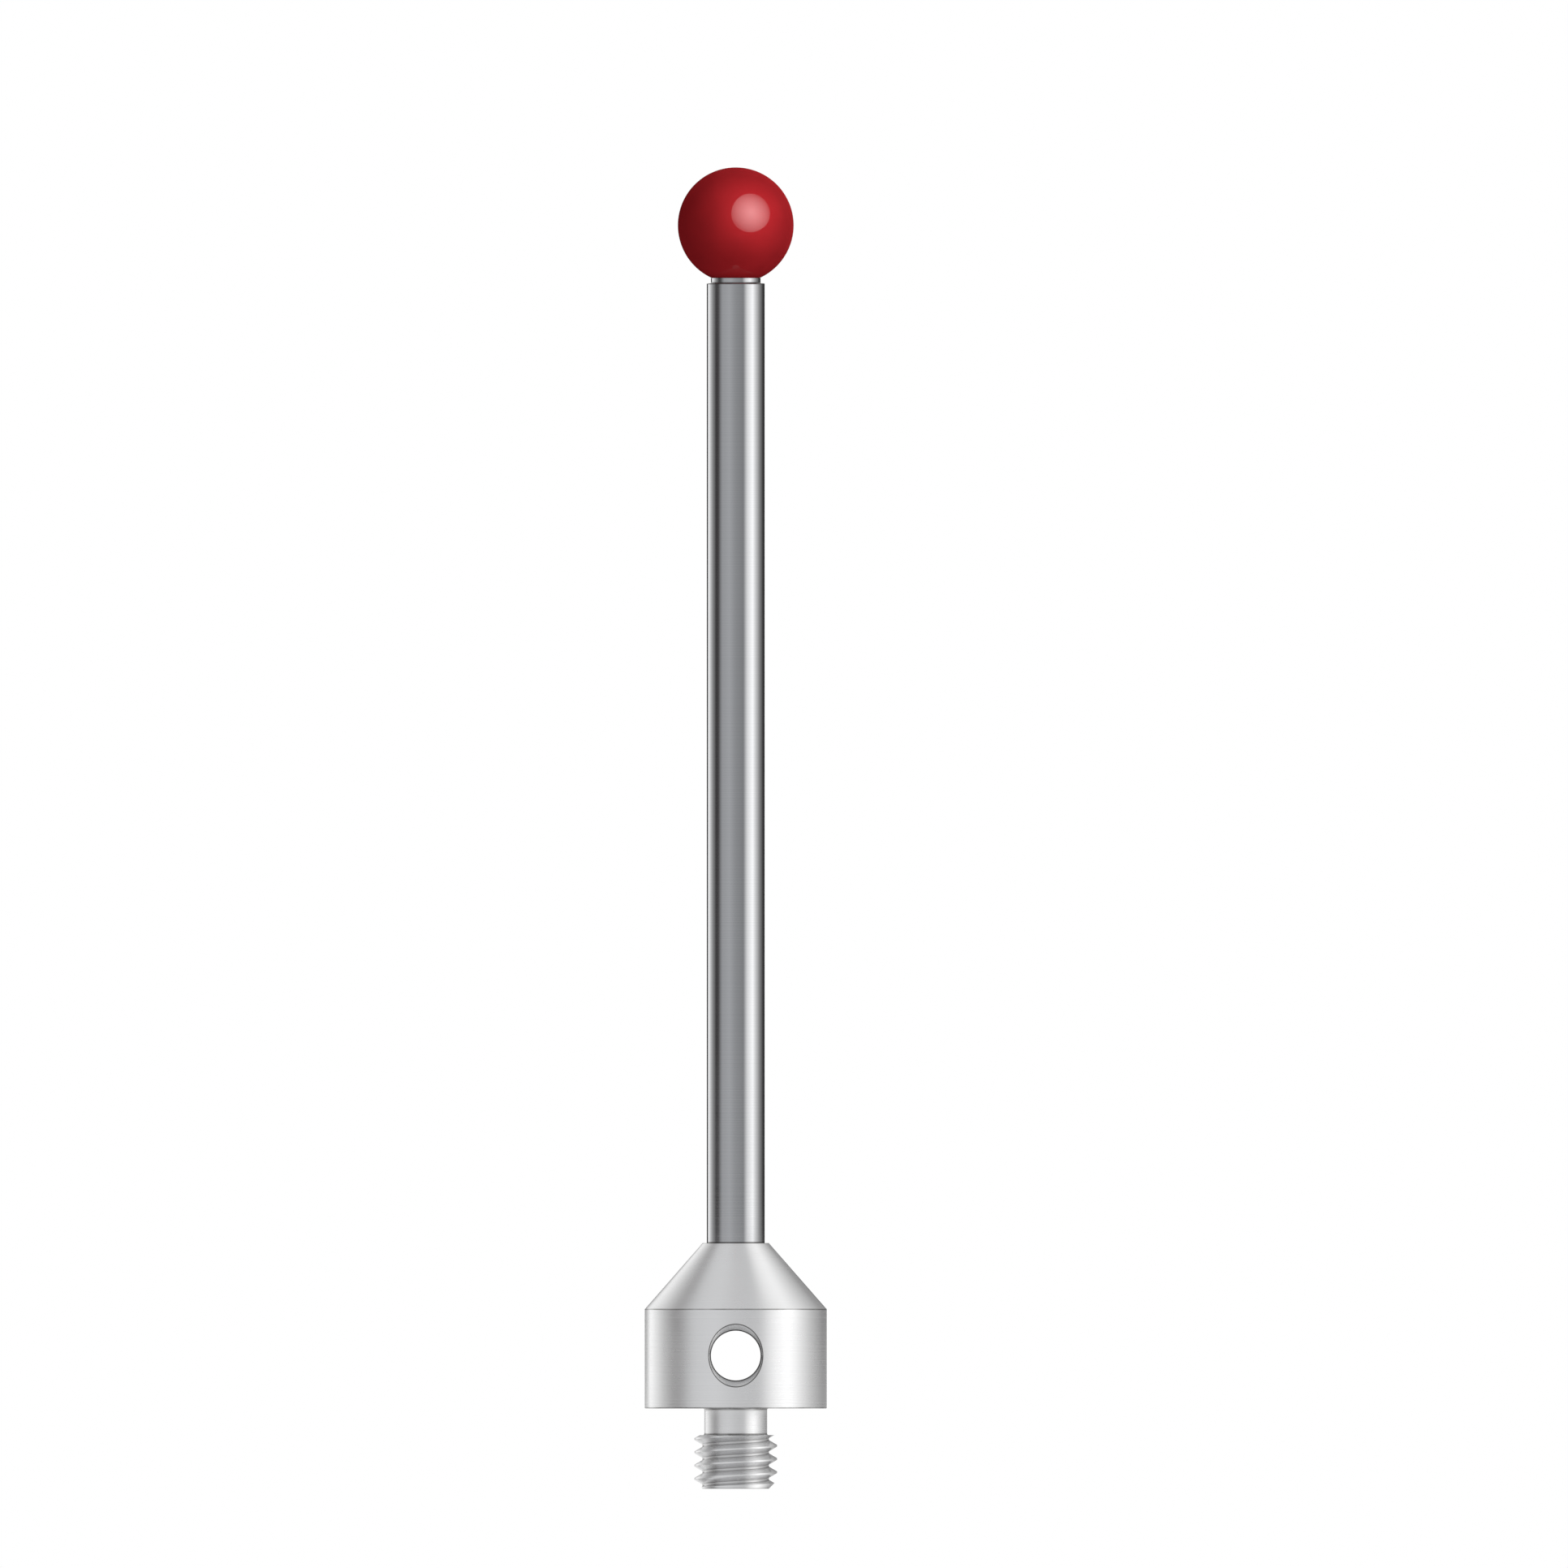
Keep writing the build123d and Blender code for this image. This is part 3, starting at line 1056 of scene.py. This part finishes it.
# %% [markdown]
# ## Light for the ball
# The ruby's highlight is the mirror image of one softbox at the upper right, so its place and size
# follow from the mirror rule: what shows at a spot of the ball stands where the line of sight is
# mirrored about the normal there. `mirrored` follows that line from the rim of the highlight. It
# shows that the softbox has to be oval, because a ball squeezes what it mirrors towards its outline,
# and a round lamp would give an oval highlight. Spread is a grid on the lamp: less light leaves it at
# a slant, so the highlight is strongest in the middle. A smaller softbox gives the ball's far side a
# glint. It stands nearly in line behind the ball, so only the outermost rim shows it to the front. A
# broad key lamp, far away, lights matt surfaces and casts the soft shadow. Light linking gives the
# tent to the metals and the two softboxes to the ball, as flags and snoots do in a studio.

# %% Lamps
HIGHLIGHT_RIGHT = 0.252  # of the ball's radius, from its centre
HIGHLIGHT_UP = 0.208
HIGHLIGHT_RADIUS = 0.333
SOFTBOX_DISTANCE = 250 * MM
SOFTBOX_GLOW = 0.89
SOFTBOX_SPREAD = radians(91)
BACK_AZIMUTH, BACK_ELEVATION = radians(172), radians(8)
BACK_SPANS = (0.325, 0.325)
BACK_GLOW = 2.5
KEY_AZIMUTH, KEY_ELEVATION = radians(55), radians(38)
KEY_DISTANCE = 1500 * MM
KEY_SPANS = (0.325, 0.325)
KEY_GLOW = 4.2


def toward(azimuth, elevation):
    """The direction at this azimuth, counted from the front towards the right, and this elevation."""
    return Vector((sin(azimuth) * cos(elevation), -cos(azimuth) * cos(elevation), sin(elevation)))


def linked(name, *pieces):
    """A collection that a lamp is limited to."""
    collection = bpy.data.collections.new(name)
    for piece in pieces:
        collection.objects.link(piece)
    return collection


def oval_lamp(name, way, side, distance, spans, target, radiance):
    """A lamp of this radiance that the target sees that way, with its first axis along side.

    The spans are the tangents of the half angles that it fills along its two axes. Its power is
    the radiance times pi times the area of the oval.
    """
    up = way.cross(side).normalized()
    data = bpy.data.lights.new(name, "AREA")
    data.shape = "ELLIPSE"
    data.size, data.size_y = [2 * distance * span for span in spans]
    data.energy = radiance * pi * pi * data.size * data.size_y / 4
    lamp = bpy.data.objects.new(name, data)
    bpy.context.scene.collection.objects.link(lamp)
    lamp.location = target + way * distance
    lamp.rotation_euler = Matrix((up.cross(way), up, way)).transposed().to_euler()
    return lamp


def mirrored(spot):
    """Where the line of sight goes from a spot of the ball's picture, given in parts of its radius."""
    to_camera = Vector((0, -1, 0))
    normal = Vector((spot.x, -sqrt(1 - spot.length_squared), spot.y))
    return 2 * normal.dot(to_camera) * normal - to_camera


# %% Softboxes and key lamp
ball_spot = ball_centre * MM
middle = Vector((HIGHLIGHT_RIGHT, HIGHLIGHT_UP))
outward = middle.normalized() * HIGHLIGHT_RADIUS
near, far = mirrored(middle - outward), mirrored(middle + outward)
softbox_way = (near + far).normalized()
beside = mirrored(middle + outward.orthogonal())
across_way = softbox_way.cross(far - near).normalized()
spans = (tan(near.angle(far) / 2), abs(beside.dot(across_way)) / beside.dot(softbox_way))
softbox = oval_lamp(
    "softbox", softbox_way, far - near, SOFTBOX_DISTANCE, spans, ball_spot, SOFTBOX_GLOW
)
softbox.data.spread = SOFTBOX_SPREAD
print("softbox in mm:", round(softbox.data.size / MM), "by", round(softbox.data.size_y / MM))

UPRIGHT = Vector((0, 0, 1))
back_way = toward(BACK_AZIMUTH, BACK_ELEVATION)
back_box = oval_lamp(
    "back_softbox", back_way, UPRIGHT, SOFTBOX_DISTANCE, BACK_SPANS, ball_spot, BACK_GLOW
)
for lamp in (softbox, back_box):
    lamp.visible_diffuse = False
    lamp.visible_camera = False
    lamp.light_linking.receiver_collection = linked(lamp.name + "_lights", ball)

key_way = toward(KEY_AZIMUTH, KEY_ELEVATION)
tent_middle = Vector((0, 0, TENT_CENTRE))
key = oval_lamp("key", key_way, UPRIGHT, KEY_DISTANCE, KEY_SPANS, tent_middle, KEY_GLOW)
key.visible_glossy = False
key.visible_camera = False
tent.light_linking.receiver_collection = linked("tent_lights", stem, holder)
for lamp in (softbox, back_box, key):
    way = lamp.location - ball_spot
    azimuth, elevation = atan2(way.x, -way.y), atan2(way.z, hypot(way.x, way.y))
    print(lamp.name, "azimuth, elevation:", round(degrees(azimuth), 1), round(degrees(elevation), 1))

# %% [markdown]
# ## Hand over
# Each piece now stands for its solid and rides on the part's single body. The dressing must not change
# the part's size.

# %% Tie the pieces to the solids
for piece, solid in ((ball, "ruby_ball"), (stem, "stem"), (holder, "holder")):
    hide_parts(solid)
    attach(piece, "root")

bpy.context.view_layer.update()
